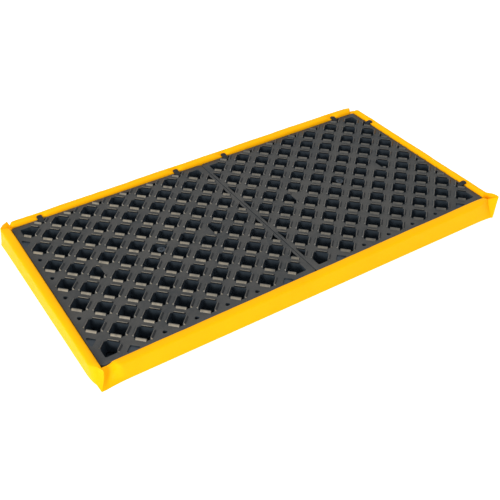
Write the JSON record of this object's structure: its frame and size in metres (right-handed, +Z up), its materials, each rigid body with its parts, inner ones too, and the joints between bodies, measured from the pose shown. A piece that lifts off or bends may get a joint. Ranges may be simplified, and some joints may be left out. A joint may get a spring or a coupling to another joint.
{
  "type": "spill containment pallet",
  "caption": "Low-profile spill containment deck: square black plastic grate tiles lying in a yellow coated-fabric sump with padded foam walls and folded corners.",
  "frame": {"origin": "on the ground, under the middle of the deck", "axes": "+X along the length, from the left tile to the right tile; +Y from the front wall to the back wall; +Z up"},
  "size_m": [1.2868, 0.6766, 0.055],
  "materials": {
    "coated_fabric": "satin PVC-coated polyester",
    "foam": "closed-cell foam",
    "grate_plastic": "matt recycled polyethylene"
  },
  "bodies": {
    "sump": {"sump_floor": "coated_fabric", "wall_cover_front": "coated_fabric", "wall_cover_back": "coated_fabric", "wall_cover_left": "coated_fabric", "wall_cover_right": "coated_fabric", "foam_core_front": "foam", "foam_core_back": "foam", "foam_core_left": "foam", "foam_core_right": "foam", "corner_fold_front_left": "coated_fabric", "corner_fold_front_right": "coated_fabric", "corner_fold_back_left": "coated_fabric", "corner_fold_back_right": "coated_fabric"},
    "grate_left": {"grate_left": "grate_plastic"},
    "grate_right": {"grate_right": "grate_plastic"}
  },
  "joints": [
    {"name": "grate_left_lift", "type": "slide", "parent": "sump", "child": "grate_left", "axis": [0, 0, 1], "range_m": [0, 0.15]},
    {"name": "grate_right_lift", "type": "slide", "parent": "grate_left", "child": "grate_right", "axis": [0, 0, 1], "range_m": [0, 0.15]}
  ]
}
